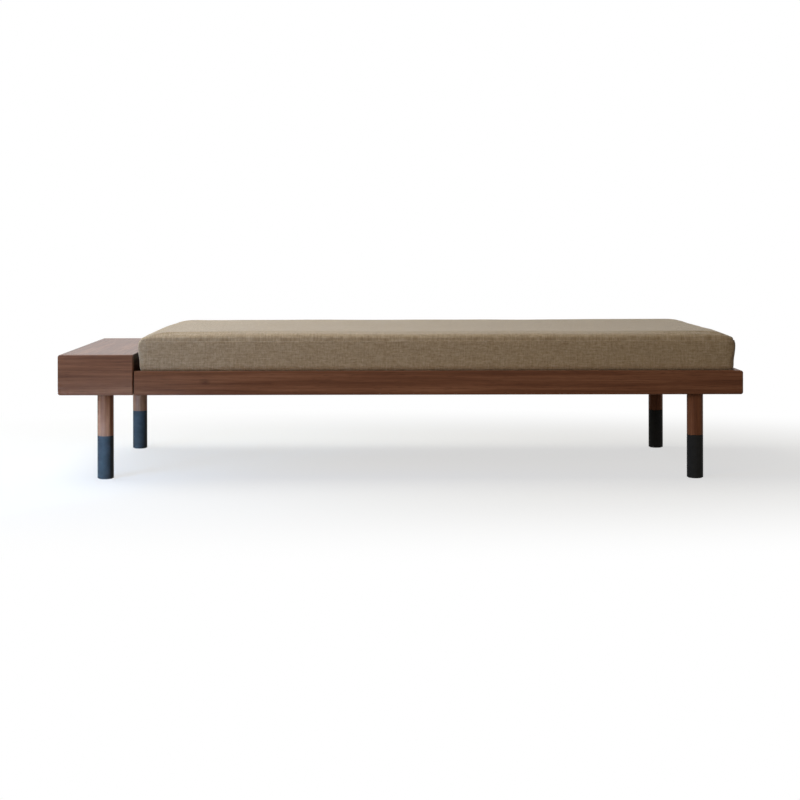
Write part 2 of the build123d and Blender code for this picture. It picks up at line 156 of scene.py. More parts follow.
# Cloth: width of a thread, and the share of threads, slubs and flecks in the tone
THREAD_PITCH = 0.0016
THREAD_SHARE = 0.40
SLUB_SHARE = 0.30
FLECK_SHARE = 0.30
CLOTH_TONES = (0.39, 0.50, 0.61)

# Steel: rate of its drawing marks along and across them, and of its clouds, with the shade of the dark ones
MARK_GRAIN = (12.0, 1600.0)
CLOUD_RATE = 60.0
CLOUD_SHADE = 0.72

# Floor: its colours, and where it turns white round the daybed
FLOOR_REACH = 30.0
FLOOR_SEEN = (0.92, 0.92, 0.92)
FLOOR_AS_LIGHT = (0.12, 0.105, 0.09)
FLOOR_STRETCH = (0.55, 1.0, 1.0)
SHADOW_REACH = 0.55
WHITE_REACH = 1.45
SHADOW_WHITENESS = 0.62

# Light: colours of the dim room and of its pale wall, to the left and to the right
WHITE = (1.0, 1.0, 1.0)
ROOM_LEFT = (0.060, 0.056, 0.052)
ROOM_RIGHT = (0.26, 0.23, 0.20)
WALL_LEFT = (0.65, 0.79, 0.90)
WALL_RIGHT = (0.05, 0.04, 0.03)

# Light: points that the lamps aim at
LEFT_HALF = (-0.2, 0.0, 0.35)
FRONT_MIDDLE = (0.2, -0.3, 0.3)
RIGHT_HALF = (0.4, 0.2, 0.30)
LEFT_FRONT = (-0.6, -0.2, 0.35)
LEFT_LEGS = (-0.82, -0.02, 0.075)


# Material helpers

def new_material(name):
    """An empty node material: its tree and its shader."""
    material = bpy.data.materials.new(name)
    material.use_nodes = True
    tree = material.node_tree
    return material, tree, shader_of(tree)


def shader_of(tree):
    """The one shader of a material."""
    return tree.nodes["Principled BSDF"]


def set_sockets(node, values):
    """Constant values, given by the names of their sockets."""
    for name, value in values.items():
        node.inputs[name].default_value = value


def add_node(tree, kind, **settings):
    """A node with the given settings; a name that is a socket sets its value."""
    node = tree.nodes.new(kind)
    for key, value in settings.items():
        if key in node.inputs:
            node.inputs[key].default_value = value
        else:
            setattr(node, key, value)
    return node


def link(tree, source, target):
    """Joins an output to an input."""
    tree.links.new(source, target)


def grey(value):
    """A grey colour."""
    return (value, value, value)


def ramp(tree, source, stops):
    """A colour ramp over a value: stops are (place, colour)."""
    node = tree.nodes.new("ShaderNodeValToRGB")
    elements = node.color_ramp.elements
    while len(elements) < len(stops):
        elements.new(0.5)
    for element, (place, colour) in zip(elements, stops):
        element.position = place
        element.color = (*colour, 1.0)
    link(tree, source, node.inputs["Fac"])
    return node.outputs["Color"]


def grey_ramp(tree, source, stops):
    """A ramp between grey values."""
    return ramp(tree, source, [(place, grey(value)) for place, value in stops])


def math_node(tree, operation, *values):
    """One step of arithmetic on outputs and plain numbers."""
    node = add_node(tree, "ShaderNodeMath", operation=operation)
    for socket, value in zip(node.inputs, values):
        if isinstance(value, (int, float)):
            socket.default_value = value
        else:
            link(tree, value, socket)
    return node.outputs["Value"]


def weighted_sum(tree, *terms):
    """The sum of values, each given with its share."""
    total = 0.0
    for value, share in terms:
        total = math_node(tree, "MULTIPLY_ADD", value, share, total)
    return total


def mix_colour(tree, blend, factor, a, b):
    """Two colours, outputs or constants, blended by a factor."""
    node = add_node(tree, "ShaderNodeMix", data_type="RGBA", blend_type=blend)
    for socket, value in ((node.inputs["Factor"], factor), (node.inputs["A"], a), (node.inputs["B"], b)):
        if isinstance(value, (int, float)):
            socket.default_value = value
        elif isinstance(value, tuple):
            socket.default_value = (*value, 1.0)
        else:
            link(tree, value, socket)
    return node.outputs["Result"]


def choose(tree, picker, a, b):
    """Value a where the picker is 0, and b where it is 1."""
    node = add_node(tree, "ShaderNodeMix", data_type="FLOAT")
    link(tree, picker, node.inputs["Factor"])
    link(tree, a, node.inputs["A"])
    link(tree, b, node.inputs["B"])
    return node.outputs["Result"]


def split_vector(tree, vector):
    """The X, Y and Z outputs of a vector."""
    node = tree.nodes.new("ShaderNodeSeparateXYZ")
    link(tree, vector, node.inputs["Vector"])
    return node.outputs


def vector_length(tree, vector):
    """The length of a vector."""
    node = add_node(tree, "ShaderNodeVectorMath", operation="LENGTH")
    link(tree, vector, node.inputs[0])
    return node.outputs["Value"]


def object_space(tree, scale=(1.0, 1.0, 1.0), offset=(0, 0, 0), socket="Object", turn=(0, 0, 0)):
    """Coordinates of the piece itself, stretched by the scale."""
    coordinates = tree.nodes.new("ShaderNodeTexCoord")
    mapping = add_node(tree, "ShaderNodeMapping", Scale=scale, Location=offset, Rotation=turn)
    link(tree, coordinates.outputs[socket], mapping.inputs["Vector"])
    return mapping.outputs["Vector"]


def along_axis(axis, lengthwise, across):
    """A scale that stretches a texture along one axis."""
    scale = [across, across, across]
    scale["XYZ".index(axis)] = lengthwise
    return tuple(scale)


def noise_value(tree, vector, scale=1.0, detail=3.0, roughness=0.55, distortion=0.0):
    """Smooth noise between 0 and 1."""
    node = add_node(tree, "ShaderNodeTexNoise", Scale=scale, Detail=detail, Roughness=roughness,
                    Distortion=distortion)
    link(tree, vector, node.inputs["Vector"])
    return node.outputs["Fac"]


def add_bump(tree, shader, height, strength, distance):
    """Fine relief that follows a height."""
    node = add_node(tree, "ShaderNodeBump", Strength=strength, Distance=distance)
    link(tree, height, node.inputs["Height"])
    link(tree, node.outputs["Normal"], shader.inputs["Normal"])


def seen_rays(tree):
    """1 for rays that show the background itself: to the camera, in a reflection or through glass."""
    rays = tree.nodes.new("ShaderNodeLightPath")
    mirrored = math_node(tree, "MAXIMUM", rays.outputs["Is Glossy Ray"], rays.outputs["Is Transmission Ray"])
    return math_node(tree, "MAXIMUM", rays.outputs["Is Camera Ray"], mirrored)


# Wood

def wood(name, axis, offset, colours, roughness):
    """Wood with its grain along one axis; the roughness runs from its light streaks to its dark ones."""
    material, tree, shader = new_material(name)
    dark, middle, light, pore = colours
    smooth, rough = roughness

    def grain(rates):
        return object_space(tree, along_axis(axis, *rates), offset)

    broad = noise_value(tree, grain(BROAD_GRAIN), roughness=0.5, distortion=0.5)
    rings = add_node(tree, "ShaderNodeTexWave", wave_type="RINGS", wave_profile="SIN")
    set_sockets(rings, {"Scale": 1.6, "Distortion": 7.0, "Detail": 3.0, "Detail Scale": 1.6})
    link(tree, grain(RING_GRAIN), rings.inputs["Vector"])
    bands = noise_value(tree, grain(BAND_GRAIN), detail=4.0, roughness=0.6)
    streaks = noise_value(tree, grain(STREAK_GRAIN), detail=5.0, roughness=0.7)
    pores = noise_value(tree, grain(PORE_GRAIN), detail=2.0, roughness=0.5)
    tone = weighted_sum(tree, (broad, BROAD_SHARE), (rings.outputs["Fac"], RING_SHARE), (bands, BAND_SHARE),
                        (streaks, STREAK_SHARE))
    colour = ramp(tree, tone, list(zip(WOOD_TONES, (dark, middle, light))))
    pore_mask = grey_ramp(tree, pores, [(0.30, 1.0), (0.42, 0.0)])
    colour = mix_colour(tree, "MIX", math_node(tree, "MULTIPLY", pore_mask, PORE_SHARE), colour, pore)
    link(tree, colour, shader.inputs["Base Color"])
    link(tree, grey_ramp(tree, streaks, [(0.25, rough), (0.75, smooth)]), shader.inputs["Roughness"])
    height = weighted_sum(tree, (streaks, STREAK_HEIGHT), (pore_mask, -1.0))
    add_bump(tree, shader, height, strength=0.10, distance=0.0004)
    set_sockets(shader, {"Specular IOR Level": 0.10})
    return material


def walnut(name, axis, offset, lacquer=0.0, paler=1.0):
    """Dark walnut, oiled or under a thin satin lacquer."""
    colours = [tuple(paler * value for value in colour) for colour in WALNUT]
    material = wood(name, axis, offset, colours, roughness=(0.42, 0.54))
    set_sockets(shader_of(material.node_tree), {"Coat Weight": lacquer, "Coat Roughness": 0.25})
    return material


def leg_walnut():
    """Walnut of the turned legs: oiled, and a little paler and less glossy than the rails."""
    material = walnut("leg_walnut", "Z", (1.4, 0.9, 0.2), paler=1.15)
    set_sockets(shader_of(material.node_tree), {"Specular IOR Level": 0.08})
    return material


def add_knot(material):
    """Darkens the wood softly round a point of the front rail, as over a small knot."""
    tree = material.node_tree
    base = shader_of(tree).inputs["Base Color"]
    plain = base.links[0].from_socket
    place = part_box("front_rail")[0] + Vector(KNOT_OFFSET)
    scale = tuple(1 / length for length in KNOT_SIZE)
    offset = tuple(-at / length for at, length in zip(place, KNOT_SIZE))
    distance = vector_length(tree, object_space(tree, scale, offset))
    ragged = noise_value(tree, object_space(tree, KNOT_RAGGED_GRAIN))
    reach = weighted_sum(tree, (distance, 1.0), (ragged, KNOT_RAGGEDNESS))
    shade = ramp(tree, reach, [(0.40, KNOT_SHADE), (1.05, WHITE)])
    link(tree, mix_colour(tree, "MULTIPLY", 1.0, plain, shade), base)
    return material


def beech(axis):
    """Pale beech of the hidden frame parts."""
    return wood(f"beech_{axis}", axis, (3.1, 0.7, 0.2), BEECH, roughness=(0.50, 0.62))


def plywood(axis, thin):
    """Birch plywood: a pale face, and plies across the thin direction that show at the edges."""
    material = wood(f"plywood_{axis}_{thin}", axis, (1.7, 0.3, 0.9), BIRCH, roughness=(0.42, 0.55))
    tree = material.node_tree
    base = shader_of(tree).inputs["Base Color"]
    face = base.links[0].from_socket
    plies = add_node(tree, "ShaderNodeTexWave", wave_type="BANDS", bands_direction=thin, wave_profile="SIN",
                     Scale=PLY_RATE, Distortion=0.0)
    link(tree, object_space(tree), plies.inputs["Vector"])
    stripes = grey_ramp(tree, plies.outputs["Fac"], [(0.35, 0.72), (0.65, 1.0)])
    normal = split_vector(tree, tree.nodes.new("ShaderNodeNewGeometry").outputs["True Normal"])
    edge = math_node(tree, "LESS_THAN", math_node(tree, "ABSOLUTE", normal[thin]), 0.5)
    link(tree, mix_colour(tree, "MULTIPLY", edge, face, stripes), base)
    return material


# Leather, thread, plastic and metals

def black_leather():
    """Smooth black leather with a fine grain and a faint shine."""
    material, tree, shader = new_material("black_leather")
    cells = add_node(tree, "ShaderNodeTexVoronoi", feature="DISTANCE_TO_EDGE", Scale=620.0)
    link(tree, object_space(tree), cells.inputs["Vector"])
    grain = grey_ramp(tree, cells.outputs["Distance"], [(0.0, 0.0), (0.16, 1.0)])
    creases = noise_value(tree, object_space(tree), scale=45.0, detail=5.0, roughness=0.6)
    link(tree, grey_ramp(tree, creases, [(0.35, 0.022), (0.7, 0.034)]), shader.inputs["Base Color"])
    link(tree, grey_ramp(tree, creases, [(0.3, 0.60), (0.7, 0.72)]), shader.inputs["Roughness"])
    add_bump(tree, shader, math_node(tree, "ADD", grain, creases), strength=0.16, distance=0.0003)
    set_sockets(shader, {"Specular IOR Level": 0.06, "Specular Tint": (0.75, 0.92, 1.0, 1.0)})
    return material


def black_thread():
    """Black sewing thread with a faint twist."""
    material, tree, shader = new_material("black_thread")
    twist = noise_value(tree, object_space(tree, (900.0, 900.0, 300.0)), detail=2.0)
    colour = ramp(tree, twist, [(0.3, (0.015, 0.015, 0.016)), (0.7, (0.035, 0.035, 0.037))])
    link(tree, colour, shader.inputs["Base Color"])
    set_sockets(shader, {"Roughness": 0.7})
    return material


def black_nylon():
    """Black moulded nylon of the glides."""
    material, tree, shader = new_material("black_nylon")
    grain = noise_value(tree, object_space(tree), scale=900.0)
    link(tree, grey_ramp(tree, grain, [(0.3, 0.012), (0.7, 0.024)]), shader.inputs["Base Color"])
    link(tree, grey_ramp(tree, grain, [(0.3, 0.55), (0.7, 0.7)]), shader.inputs["Roughness"])
    add_bump(tree, shader, grain, strength=0.15, distance=0.0003)
    return material


def steel(name, colour, roughness, axis="Y"):
    """Plated steel with faint drawing marks along one axis."""
    material, tree, shader = new_material(name)
    smooth, rough = roughness
    darker = tuple(CLOUD_SHADE * value for value in colour)
    marks = noise_value(tree, object_space(tree, along_axis(axis, *MARK_GRAIN)))
    cloud = noise_value(tree, object_space(tree), scale=CLOUD_RATE)
    link(tree, ramp(tree, cloud, [(0.3, darker), (0.7, colour)]), shader.inputs["Base Color"])
    link(tree, grey_ramp(tree, marks, [(0.3, smooth), (0.7, rough)]), shader.inputs["Roughness"])
    add_bump(tree, shader, marks, strength=0.06, distance=0.0002)
    set_sockets(shader, {"Metallic": 1.0})
    return material


# Cloth

def weave(tree, vector, pitch):
    """Height of a plain weave, and 1 where the weft lies over the warp."""
    turns = math.pi / pitch
    place = split_vector(tree, vector)
    warp = math_node(tree, "SINE", math_node(tree, "MULTIPLY", place["X"], turns))
    weft = math_node(tree, "SINE", math_node(tree, "MULTIPLY", place["Y"], turns))
    over = math_node(tree, "GREATER_THAN", math_node(tree, "MULTIPLY", warp, weft), 0.0)
    height = choose(tree, over, math_node(tree, "ABSOLUTE", warp), math_node(tree, "ABSOLUTE", weft))
    return height, over


def cloth(name, colours, pitch, socket="UV", turn=(0, 0, 0)):
    """A woven melange cloth; its threads follow the first two coordinates, which are in metres."""
    material, tree, shader = new_material(name)
    across = 0.45 / pitch
    along = 20.0
    slub_rates = (0.09 / pitch, 0.34 / pitch)
    fleck_rates = (0.34 / pitch, 0.16 / pitch)

    def threads(rates, offset=(0, 0, 0)):
        flat = object_space(tree, socket=socket, turn=turn)
        mapping = add_node(tree, "ShaderNodeMapping", Scale=(*rates, 1.0), Location=offset)
        link(tree, flat, mapping.inputs["Vector"])
        return mapping.outputs["Vector"]

    height, over = weave(tree, threads((1.0, 1.0)), pitch)
    warp_tone = noise_value(tree, threads((across, along)), roughness=0.6)
    weft_tone = noise_value(tree, threads((along, across), (4.0, 9.0, 0.0)), roughness=0.6)
    slubs = noise_value(tree, threads(slub_rates, (2.0, 1.0, 0.0)), roughness=0.6)
    flecks = noise_value(tree, threads(fleck_rates, (7.0, 3.0, 0.0)), roughness=0.65)
    tone = weighted_sum(tree, (choose(tree, over, warp_tone, weft_tone), THREAD_SHARE), (slubs, SLUB_SHARE),
                        (flecks, FLECK_SHARE))
    colour = ramp(tree, tone, list(zip(CLOTH_TONES, colours)))
    # Painted shade: the colour is darker where the weave is low, in the hollows between the threads
    shade = grey_ramp(tree, height, [(0.05, 0.66), (0.55, 1.0)])
    link(tree, mix_colour(tree, "MULTIPLY", 1.0, colour, shade), shader.inputs["Base Color"])
    link(tree, grey_ramp(tree, height, [(0.0, 0.98), (1.0, 0.86)]), shader.inputs["Roughness"])
    add_bump(tree, shader, math_node(tree, "ADD", height, slubs), strength=0.45, distance=0.0005)
    set_sockets(shader, {"Sheen Weight": 0.6, "Sheen Tint": (1.0, 0.94, 0.85, 1.0), "Sheen Roughness": 0.42,
                         "Specular IOR Level": 0.05})
    return material


def cushion_cloth():
    """Brown and beige melange of the mattress cover."""
    colours = ((0.345, 0.247, 0.146), (0.475, 0.354, 0.226), (0.605, 0.472, 0.322))
    return cloth("cushion_cloth", colours, THREAD_PITCH)


def zip_tape():
    """Finer and darker cloth, with its threads along X and Z of the upright tape."""
    colours = ((0.16, 0.118, 0.074), (0.22, 0.166, 0.106), (0.28, 0.216, 0.142))
    return cloth("zip_tape", colours, THREAD_PITCH / 2, "Object", (math.pi / 2, 0, 0))


# Dressing of the carried-over parts

def dress(material, *names):
    """Gives the material to the named parts."""
    for name in names:
        mesh = nodes[name].data
        mesh.materials.clear()
        mesh.materials.append(material)


def dress_wood():
    """Walnut, beech and plywood; a different offset is a different cut of the grain."""
    slats = [name for name in nodes if name.startswith("slat_") and name != "slat_screws"]
    dress(add_knot(walnut("front_walnut", "X", (0, 0, 0))), "front_rail")
    dress(walnut("rear_walnut", "X", (5.3, 2.1, 0.4)), "rear_rail")
    dress(walnut("end_walnut", "Y", (2.2, 0.5, 0.3)), "right_end_rail")
    dress(walnut("box_walnut", "X", (6.1, 0.4, 0.55), lacquer=0.35), "drawer_front", "box_back")
    dress(walnut("case_walnut", "Y", (3.6, 0.4, 0.7), lacquer=0.45, paler=0.75), "box_top", "box_left_panel")
    # Painted shade: the box's right panel, seen in the narrow gap beside the mattress, is walnut darkened to
    # near black, as the shade in that gap
    dress(walnut("painted_gap_shade_walnut", "Y", (4.4, 0.8, 0.1), paler=0.2), "box_right_panel")
    dress(leg_walnut(), *[f"leg_{place}" for place in LEG_PLACES])
    dress(beech("Y"), "left_cross_rail", "leg_board", *slats)
    dress(beech("X"), "front_ledge", "rear_ledge")
    dress(beech("Z"), "frame_dowels", "box_dowels", "drawer_dowels", "mitre_splines")
    dress(plywood("Y", "Z"), "box_bottom", "drawer_bottom")
    dress(plywood("Y", "X"), "drawer_left_side", "drawer_right_side")
    dress(plywood("X", "Y"), "drawer_back")


def dress_other(zip_metal):
    """Leather, plastic, steel and the zip."""
    dress(black_leather(), *[f"leg_sleeve_{place}" for place in LEG_PLACES])
    dress(black_nylon(), "leg_glides")
    dress(steel("zinc_steel", (0.62, 0.62, 0.60), roughness=(0.28, 0.42)),
          "slat_screws", "ledge_screws", "connector_bolts", "barrel_nuts", "spacer_washers", "hanger_bolts",
          "insert_nuts", "case_slide_screws", "drawer_slide_screws")
    dress(steel("slide_steel", (0.56, 0.57, 0.58), roughness=(0.24, 0.38)),
          "slide_case_members", "slide_drawer_members", "ball_cages")
    dress(steel("ball_steel", (0.78, 0.78, 0.78), roughness=(0.08, 0.14)), "slide_balls")
    dress(zip_tape(), "mattress_zip")
    dress(zip_metal, "zip_slider")


# Meshes

def mesh_object(name, points, faces, material, smooth=True):
    """A new object from its points and faces."""
    mesh = bpy.data.meshes.new(name)
    mesh.from_pydata([tuple(point) for point in points], [], faces)
    mesh.update()
    piece = bpy.data.objects.new(name, mesh)
    bpy.context.scene.collection.objects.link(piece)
    mesh.materials.append(material)
    mesh.polygons.foreach_set("use_smooth", [smooth] * len(mesh.polygons))
    return piece


def add_block(points, faces, block):
    """Adds the points and faces of one block to those of a growing mesh."""
    start = len(points)
    block_points, block_faces = block
    points.extend(block_points)
    faces.extend(tuple(start + k for k in face) for face in block_faces)


def edge_spaced(length):
    """Places along a side from 0 to its length: close together near both ends."""
    near = np.arange(0.0, EDGE_BAND, EDGE_STEP)
    near = np.sort(np.append(near, SEAM_HALF_WIDTH))
    count = max(2, round((length - 2 * EDGE_BAND) / FIELD_STEP))
    field = np.linspace(EDGE_BAND, length - EDGE_BAND, count + 1)
    return np.concatenate([near, field, (length - near)[::-1]])


def rounded_corner(x, y, half_x, half_y):
    """Moves a point of a rectangle into the rectangle with rounded corners."""
    inner_x = half_x - CORNER_RADIUS
    inner_y = half_y - CORNER_RADIUS
    share_x = (abs(x) - inner_x) / CORNER_RADIUS
    share_y = (abs(y) - inner_y) / CORNER_RADIUS
    if share_x <= 0 or share_y <= 0:
        return x, y
    round_x = inner_x + CORNER_RADIUS * share_x * math.sqrt(1 - share_y * share_y / 2)
    round_y = inner_y + CORNER_RADIUS * share_y * math.sqrt(1 - share_x * share_x / 2)
    return math.copysign(round_x, x), math.copysign(round_y, y)


def rolled(gap, width, roundness):
    """Share of the full height at a distance from the seam, over a rolled edge of the given width."""
    return (1 - (1 - min(max(gap / width, 0.0), 1.0)) ** 2) ** (1 / roundness)


def bulged(share):
    """Share of the full bulge at a share of the boxing's height."""
    if share < BULGE_PEAK:
        return math.sin(share / BULGE_PEAK * math.pi / 2) ** BULGE_POWER
    return math.cos((share - BULGE_PEAK) / (1 - BULGE_PEAK) * math.pi / 2)


def border(rows):
    """Indices round the edge of a grid, in order."""
    first = [row[0] for row in rows]
    last = [row[-1] for row in rows]
    return first + rows[-1][1:] + last[::-1][1:] + rows[0][::-1][1:-1]


# Mattress cover

class Cover:
    """The mattress cover: base, boxing and crowned top in one closed mesh, with UVs in metres."""

    def __init__(self):
        """Sizes from the frame: the outline at the seam, heights of the panels and bulges of the boxing."""
        seam_low, seam_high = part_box("mattress_top_panel")
        boxing_low, boxing_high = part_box("mattress_boxing")
        self.middle = (seam_low + seam_high) / 2
        self.half_x = (seam_high.x - seam_low.x) / 2
        self.half_y = (seam_high.y - seam_low.y) / 2 + SIDE_FULLNESS
        self.seam = seam_low.z
        self.crown = seam_high.z - seam_low.z - CROWN_SWELL - CROWN_SLACK
        self.end_bulge = boxing_high.x - seam_high.x - BOXING_SWELL
        self.side_bulge = boxing_high.y - self.middle.y - self.half_y
        self.zip_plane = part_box("mattress_zip")[0].y - self.middle.y - self.half_y
        self.boxing_base = boxing_low.z
        self.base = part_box("mattress_base_panel")[0].z
        self.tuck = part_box("front_rail")[1].z
        self.points = []
        self.faces = []
        self.uvs = []
        self.build()

    def add(self, x, y, z):
        """One more point, with X and Y from the middle of the mattress; returns its index."""
        self.points.append((self.middle.x + x, self.middle.y + y, z))
        return len(self.points) - 1

    def from_middle(self, point):
        """X and Y of a point, measured from the middle of the mattress."""
        return point[0] - self.middle.x, point[1] - self.middle.y

    def grid(self, xs, ys, place):
        """Points of a flat panel, row by row."""
        return [[self.add(*place(x, y)) for y in ys] for x in xs]

    def grid_faces(self, rows, xs, ys, flip):
        """Faces of a flat panel; its threads run along X and Y."""
        order = (3, 2, 1, 0) if flip else (0, 1, 2, 3)
        for i in range(len(xs) - 1):
            for j in range(len(ys) - 1):
                corners = ((i, j), (i + 1, j), (i + 1, j + 1), (i, j + 1))
                self.faces.append(tuple(rows[corners[k][0]][corners[k][1]] for k in order))
                self.uvs.append(tuple((xs[corners[k][0]], ys[corners[k][1]]) for k in order))

    def gaps(self, point):
        """Distances of a point from the nearest end and the nearest side of the seam's outline."""
        x, y = self.from_middle(point)
        return self.half_x - abs(x), self.half_y - abs(y)

    def fullness(self, x, y):
        """Share of the full height of the top: 0 at the seam, 1 where the top is flat."""
        width, roundness = LEFT_ROLL if x < 0 else RIGHT_ROLL
        width *= 1 + CORNER_SPREAD * (y / self.half_y) ** CORNER_POWER
        ends = rolled(self.half_x - abs(x), width, roundness)
        sides = rolled(self.half_y - abs(y), *SIDE_ROLL)
        lost = ((1 - ends) ** CORNER_SOFTNESS + (1 - sides) ** CORNER_SOFTNESS) ** (1 / CORNER_SOFTNESS)
        return max(1 - lost, 0.0)

    def outward(self, x, y):
        """The direction that points straight out of the outline."""
        direction = Vector((max(0.0, abs(x) - (self.half_x - CORNER_RADIUS)),
                            max(0.0, abs(y) - (self.half_y - CORNER_RADIUS))))
        direction.normalize()
        return math.copysign(direction.x, x), math.copysign(direction.y, y)

    def rows(self):
        """Height, tuck and bulge of each row of the boxing between the base and the top seam."""
        rows = [(self.boxing_base, 1.0, 0.0)]
        for turn in np.linspace(math.pi / 2, 0, TUCK_STEPS + 1)[:-1]:
            rows.append((self.tuck + TUCK_HEIGHT * (1 - math.sin(turn)), 1 - math.cos(turn), 0.0))
        foot = self.tuck + TUCK_HEIGHT
        height = self.seam - foot
        count = round((height - EDGE_STEP) / BOXING_STEP)
        levels = list(np.linspace(0, height - EDGE_STEP, count + 1))
        levels.append(height - SEAM_HALF_WIDTH)
        return rows + [(foot + level, 0.0, bulged(level / height)) for level in levels]

    def build(self):
        """The top, the base and the boxing between them."""
        xs = edge_spaced(2 * self.half_x) - self.half_x
        ys = edge_spaced(2 * self.half_y) - self.half_y
        round_low = self.boxing_base - self.base
        shrink_x = 1 - (END_TUCK + round_low) / self.half_x
        shrink_y = 1 - (SIDE_TUCK + round_low) / self.half_y

        def top_place(x, y):
            height = self.seam + self.crown * self.fullness(x, y)
            return (*rounded_corner(x, y, self.half_x, self.half_y), height)

        def base_place(x, y):
            px, py = rounded_corner(x, y, self.half_x, self.half_y)
            return px * shrink_x, py * shrink_y, self.base

        top = self.grid(xs, ys, top_place)
        base = self.grid(xs, ys, base_place)
        self.grid_faces(top, xs, ys, flip=False)
        self.grid_faces(base, xs, ys, flip=True)
        self.top_points = [i for row in top for i in row]
        self.base_points = [i for row in base for i in row]
        self.seam_loop = border(top)
        self.boxing_band(border(base))

    def boxing_band(self, lower):
        """The band between the base and the top seam; its threads run round it and upright."""
        plan = [self.from_middle(self.points[i]) for i in self.seam_loop]
        outward = [self.outward(x, y) for x, y in plan]
        rows = [lower]
        for height, tuck, bulge in self.rows():
            ends = self.end_bulge * bulge - END_TUCK * tuck
            front = self.side_bulge * bulge - SIDE_TUCK * tuck - BOXING_INSET
            rear = self.zip_plane - SIDE_TUCK * tuck
            rows.append([self.add(x + nx * ends, y + ny * (front if ny < 0 else rear), height)
                         for (x, y), (nx, ny) in zip(plan, outward)])
        self.boxing_points = [i for row in rows[1:] for i in row]
        rows.append(self.seam_loop)
        run = np.concatenate([[0.0], np.cumsum(np.linalg.norm(np.diff(plan + plan[:1], axis=0), axis=1))])
        heights = [self.points[row[0]][2] for row in rows]
        size = len(lower)
        for level in range(len(rows) - 1):
            below, above = rows[level], rows[level + 1]
            low, high = heights[level], heights[level + 1]
            for k in range(size):
                after = (k + 1) % size
                self.faces.append((below[k], below[after], above[after], above[k]))
                self.uvs.append(((run[k], low), (run[k + 1], low), (run[k + 1], high), (run[k], high)))


def swell(piece, cover):
    """Blows the cover up a little with a cloth simulation, held at its seam and its base."""
    group = piece.vertex_groups.new(name="held")
    group.add(cover.seam_loop + cover.base_points, 1.0, "REPLACE")
    modifier = piece.modifiers.new("Cloth", "CLOTH")
    settings = modifier.settings
    settings.vertex_group_mass = "held"
    settings.use_pressure = True
    settings.uniform_pressure_force = CLOTH_PRESSURE
    settings.effector_weights.gravity = 0.0
    settings.quality = CLOTH_QUALITY
    settings.tension_stiffness = CLOTH_STIFFNESS
    settings.compression_stiffness = CLOTH_STIFFNESS
    settings.bending_stiffness = CLOTH_BENDING
    modifier.collision_settings.use_collision = False
    modifier.point_cache.frame_start = 1
    modifier.point_cache.frame_end = CLOTH_FRAMES
    scene = bpy.context.scene
    for number in range(1, CLOTH_FRAMES + 1):
        scene.frame_set(number)
    evaluated = piece.evaluated_get(bpy.context.evaluated_depsgraph_get())
    moved = np.array([tuple(vertex.co) for vertex in evaluated.data.vertices])
    piece.modifiers.remove(modifier)
    scene.frame_set(1)
    return moved


def cap_swell(cover, rest, moved):
    """Keeps each point within its limit of where it started; the rear boxing stays flat for the zip."""
    limits = np.zeros(len(rest))
    limits[cover.boxing_points] = BOXING_SWELL
    limits[rest[:, 1] > cover.middle.y + cover.half_y - CORNER_RADIUS] = 0.0
    for i in cover.top_points:
        limits[i] = CROWN_SWELL * cover.fullness(*cover.from_middle(rest[i]))
    step = moved - rest
    length = np.linalg.norm(step, axis=1)
    return rest + step * np.minimum(1.0, limits / np.maximum(length, LEAST_LENGTH))[:, None]


def uneven_foam(points, cover):
    """Slow, shallow waves over the top, as foam under cloth has."""
    for i in cover.top_points:
        x, y, z = points[i]
        wave = sum(noise.noise(Vector((x * rate_x, y * rate_y, level))) * height
                   for rate_x, rate_y, level, height in FOAM_WAVES)
        points[i][2] += wave * min(1.0, (z - cover.seam) / cover.crown)


def pucker(points, cover):
    """Small gathers of the cloth beside the top seam."""
    for i in cover.top_points + cover.boxing_points:
        x, y, z = points[i]
        gap_x, gap_y = cover.gaps(points[i])
        fade = math.exp(-math.hypot(max(0.0, min(gap_x, gap_y)), z - cover.seam) / PUCKER_REACH)
        if fade < PUCKER_LEAST:
            continue
        lengthwise = gap_y < gap_x
        along, lane = (x, math.copysign(SIDE_LANE, y)) if lengthwise else (y, math.copysign(END_LANE, x))
        wave = noise.noise(Vector((along / PUCKER_LENGTH, lane, PUCKER_LEVEL))) * PUCKER_HEIGHT * fade
        points[i] += np.array((*cover.outward(*cover.from_middle(points[i])), 1.0)) * wave


def sink(points, cover, loop, depth, drop):
    """Draws a row of points in towards the filling and down, as a seam does."""
    for i in loop:
        out_x, out_y = cover.outward(*cover.from_middle(points[i]))
        points[i] -= np.array((out_x * depth, out_y * depth, drop))


def join_points(points, cover):
    """Points of the upright joins of the boxing, one at each end near the rear."""
    join_line = cover.middle.y + cover.half_y - JOIN_INSET
    return [i for i in cover.boxing_points
            if abs(points[i][1] - join_line) < EDGE_STEP
            and abs(points[i][0] - cover.middle.x) > cover.half_x / 2]


def make_cover(material):
    """The mattress cover as one cloth mesh with sunken seams."""
    cover = Cover()
    piece = mesh_object("mattress_cover", cover.points, cover.faces, material)
    layer = piece.data.uv_layers.new(name="threads")
    corners = [corner for face in cover.uvs for corner in face]
    layer.data.foreach_set("uv", np.array(corners).ravel())
    points = np.array(cover.points)
    points = cap_swell(cover, points, swell(piece, cover))
    uneven_foam(points, cover)
    pucker(points, cover)
    sink(points, cover, cover.seam_loop, SEAM_DEPTH, SEAM_DROP)
    sink(points, cover, join_points(points, cover), SEAM_DEPTH / 2, 0.0)
    piece.data.vertices.foreach_set("co", points.ravel())
    piece.data.update()
    finer = piece.modifiers.new("Subdivision", "SUBSURF")
    finer.levels = 1
    finer.render_levels = 1
    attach(piece, "mattress")
    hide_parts("mattress_core", "mattress_top_panel", "mattress_boxing", "mattress_base_panel")


# Zip teeth and stitches

